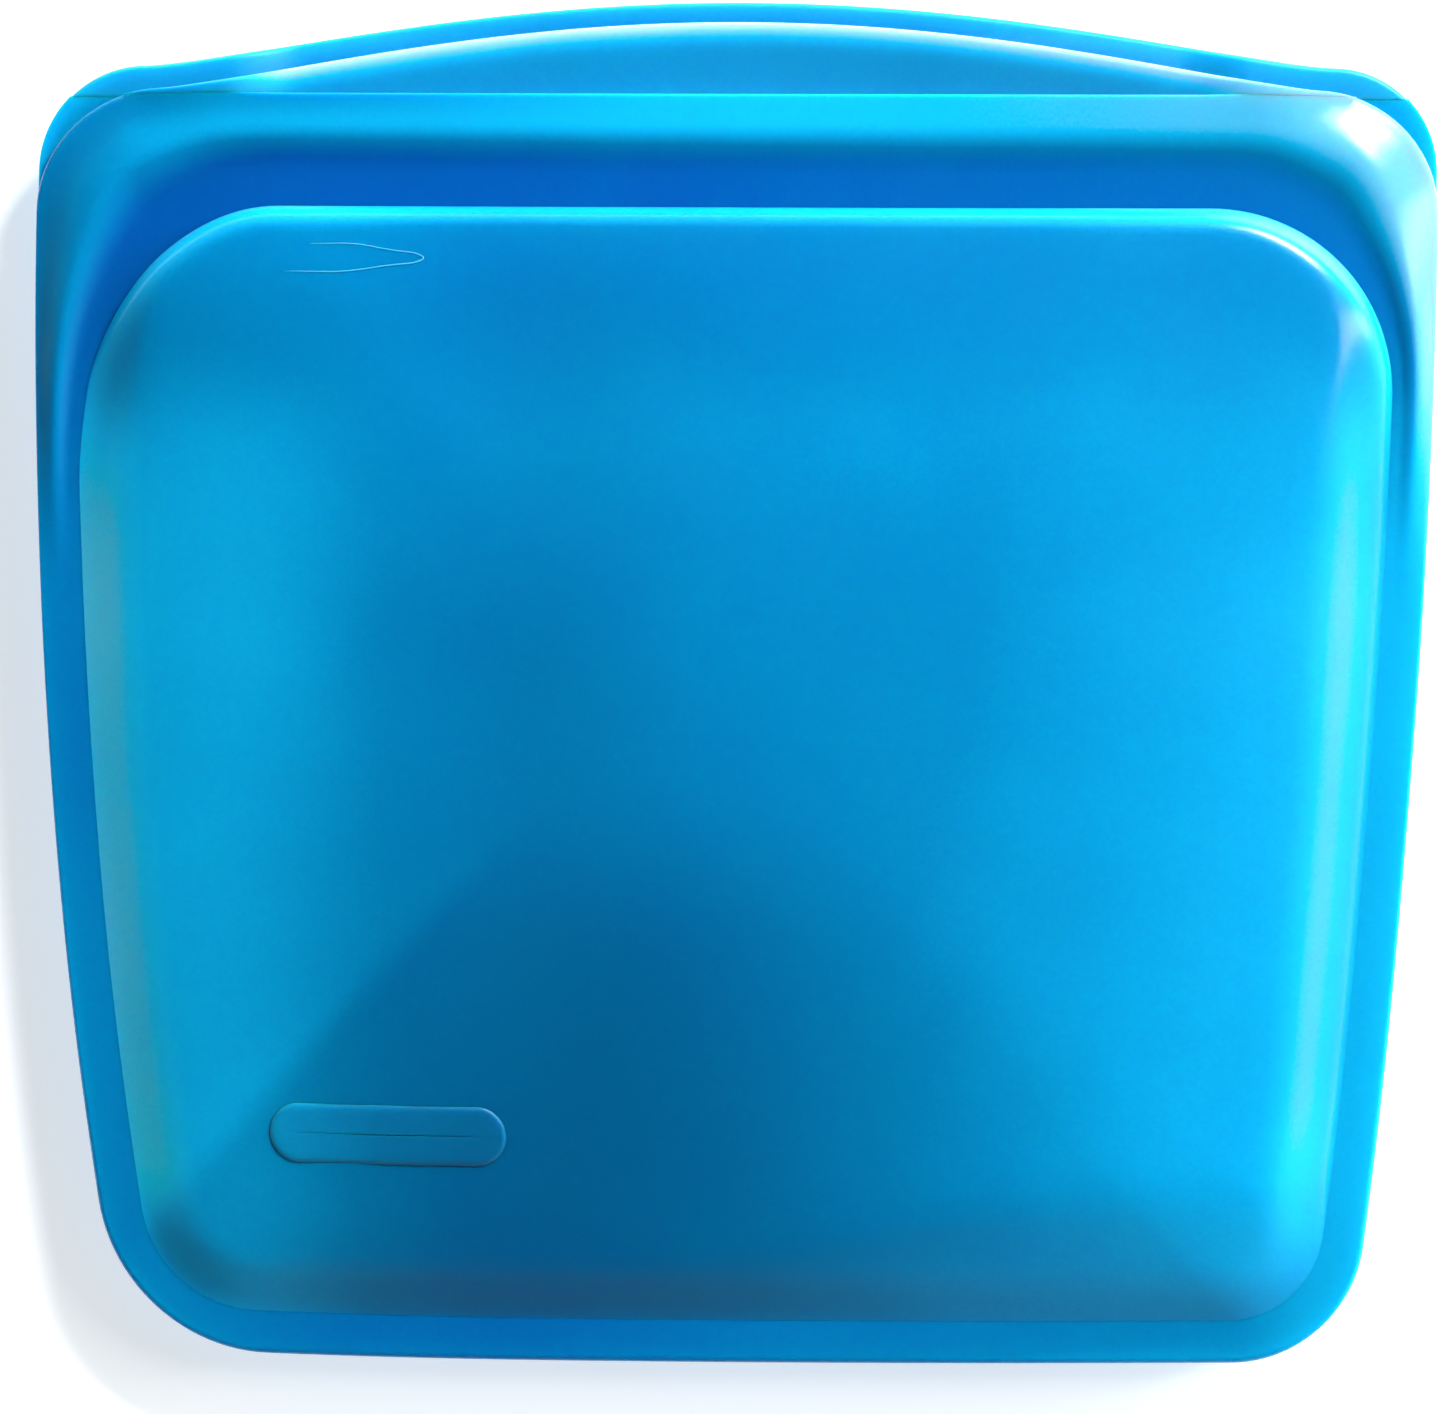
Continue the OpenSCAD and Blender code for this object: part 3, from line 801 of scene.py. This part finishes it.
def writePatch(material):
    # a capsule draped over the wall: rings shrink from its outline to its long axis, with a rounded
    # shoulder. The first ring stands sunk in the wall
    middle = (patchLow[:2] + patchHigh[:2]) / 2
    radius = (patchHigh[1] - patchLow[1]) / 2
    straight = (patchHigh[0] - patchLow[0]) / 2 - radius
    a = np.linspace(0, 2 * math.pi, 96, endpoint=False)
    along = np.clip(np.cos(a) * 1e3, -1, 1) * straight + middle[0]
    shares = np.array([1, 1, 0.985, 0.96, 0.93, 0.89, 0.84, 0.7, 0.5, 0.25, 0.02])
    rise = np.sqrt(np.clip(1 - (1 - (1 - shares) * radius / patchShape["rounding"]).clip(0, 1) ** 2, 0, 1))
    rise[0] = -patchShape["sink"] / patchShape["height"]
    plan = np.concatenate([np.stack([along + radius * q * np.cos(a), middle[1] + radius * q * np.sin(a)], 1)
                           for q in shares])
    lift = np.repeat(rise * patchShape["height"], len(a))
    z = pouchHeight(plan) + lift
    x, y = askew(*plan.T)
    points = np.column_stack([x, y, z])
    last = len(points) - len(a)
    faces = ringFaces(len(shares), len(a))
    faces += [list(range(last, len(points))), list(range(len(a)))[::-1]]
    look = lookOf(plan, frontLoop, True)
    look["tint"] = np.clip(look["tint"] + 0.06 + 0.14 * (lift < 0.3 * patchShape["height"]), 0, 1)
    return addMesh("write_patch_skin", points, faces, material, look)


print("writing patch")
patchPiece = writePatch(patchSkin)


# Riding on the CAD bodies
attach(patchPiece, "pouch")
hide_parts("write_patch")
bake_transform(frontHalf)
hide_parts("front_wall", "front_rim", "front_neck", "front_seal_bar")
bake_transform(backHalf)
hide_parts("back_wall", "back_rim", "back_neck", "back_seal_bar")
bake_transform(frontLip)
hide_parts("front_lip")
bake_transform(backLip)
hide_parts("back_lip")
for piece, body, node, slotName in ((film, "pouch", "rim_bond", "bond_silicone"),
                                    (tongue, "front_mouth", "seal_tongue", "seal_silicone"),
                                    (innerRib, "back_mouth", "inner_channel_rib", "seal_silicone"),
                                    (outerRib, "back_mouth", "outer_channel_rib", "seal_silicone")):
    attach(piece, body)
    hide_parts(node)
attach(creaseMark, "pouch")


# Floor, light and camera
studio = {
    "lens": 120.0,
    "frameWidth": 196.07,     # width of the view at the height of the flange, in millimetres
    "offset": (-1.15, -3.26),
    "roll": 0.45,
    "floor": (0.92, 0.93, 0.94),
}


def floorMaterial():
    material = bpy.data.materials.new("paleFloor")
    material.use_nodes = True
    n, link = material.node_tree.nodes, material.node_tree.links.new
    shader = n["Principled BSDF"]
    noise = n.new("ShaderNodeTexNoise")
    noise.inputs["Scale"].default_value = 3
    ramp = n.new("ShaderNodeMix")
    ramp.data_type = "RGBA"
    ramp.inputs["A"].default_value = (*studio["floor"], 1)
    ramp.inputs["B"].default_value = (0.94, 0.945, 0.95, 1)
    link(noise.outputs["Fac"], ramp.inputs["Factor"])
    link(ramp.outputs["Result"], shader.inputs["Base Color"])
    shader.inputs["Roughness"].default_value = 0.7
    shader.inputs["Specular IOR Level"].default_value = 0.1
    link(ramp.outputs["Result"], shader.inputs["Emission Color"])
    shader.inputs["Emission Strength"].default_value = 0.64
    return material


bpy.ops.mesh.primitive_plane_add(size=6, location=(0, 0, 0))
floor = bpy.context.object
floor.name = "floor"
floor.data.materials.append(floorMaterial())


def areaLight(name, position, width, height, power):
    # a rectangle of light that faces the bag at the origin
    data = bpy.data.lights.new(name, "AREA")
    data.shape = "RECTANGLE"
    data.size, data.size_y = width, height
    data.energy = power
    lamp = bpy.data.objects.new(name, data)
    bpy.context.scene.collection.objects.link(lamp)
    lamp.location = position
    x, y, z = position
    lamp.rotation_euler = (math.atan2(math.hypot(x, y), z), 0, math.atan2(-y, -x) - math.pi / 2)


areaLight("keyLight", (0.66, 0.98, 0.80), 0.44, 0.36, 39)
areaLight("rightPanel", (1.06, 0.30, 0.60), 0.18, 1.2, 11)


def skyOf(ranges, color):
    # light from all round with a smooth fade along each given axis: where it starts and ends, and the
    # brightness at its start and end
    world = bpy.data.worlds.new("studio")
    bpy.context.scene.world = world
    world.use_nodes = True
    n, link = world.node_tree.nodes, world.node_tree.links.new
    where, split = n.new("ShaderNodeTexCoord"), n.new("ShaderNodeSeparateXYZ")
    link(where.outputs["Generated"], split.inputs["Vector"])
    both = n.new("ShaderNodeMath")
    both.operation = "MULTIPLY"
    for factor, (axis, values) in zip(both.inputs, ranges.items()):
        fade = n.new("ShaderNodeMapRange")
        fade.interpolation_type = "SMOOTHSTEP"
        for key, value in zip(("From Min", "From Max", "To Min", "To Max"), values):
            fade.inputs[key].default_value = value
        link(split.outputs[axis], fade.inputs["Value"])
        link(fade.outputs["Result"], factor)
    link(both.outputs["Value"], n["Background"].inputs["Strength"])
    n["Background"].inputs["Color"].default_value = (*color, 1)


# bright low down and dark overhead, and dimmer on the left
skyOf({"Z": (0.35, 0.85, 0.68, 0.06), "X": (-0.7, 0.5, 0.30, 1.0)}, (0.86, 0.96, 1.0))

lens = bpy.data.cameras.new("camera")
lens.lens = studio["lens"]
lens.sensor_width = 36
lens.clip_end = 10
camera = bpy.data.objects.new("camera", lens)
bpy.context.scene.collection.objects.link(camera)
bpy.context.scene.camera = camera
away = size["parting"] + studio["lens"] * studio["frameWidth"] / 36
camera.location = (studio["offset"][0] * 0.001, studio["offset"][1] * 0.001, away * 0.001)
camera.rotation_euler = (0, 0, math.radians(studio["roll"]))
bpy.context.scene.view_settings.view_transform = "Standard"

bpy.context.view_layer.update()
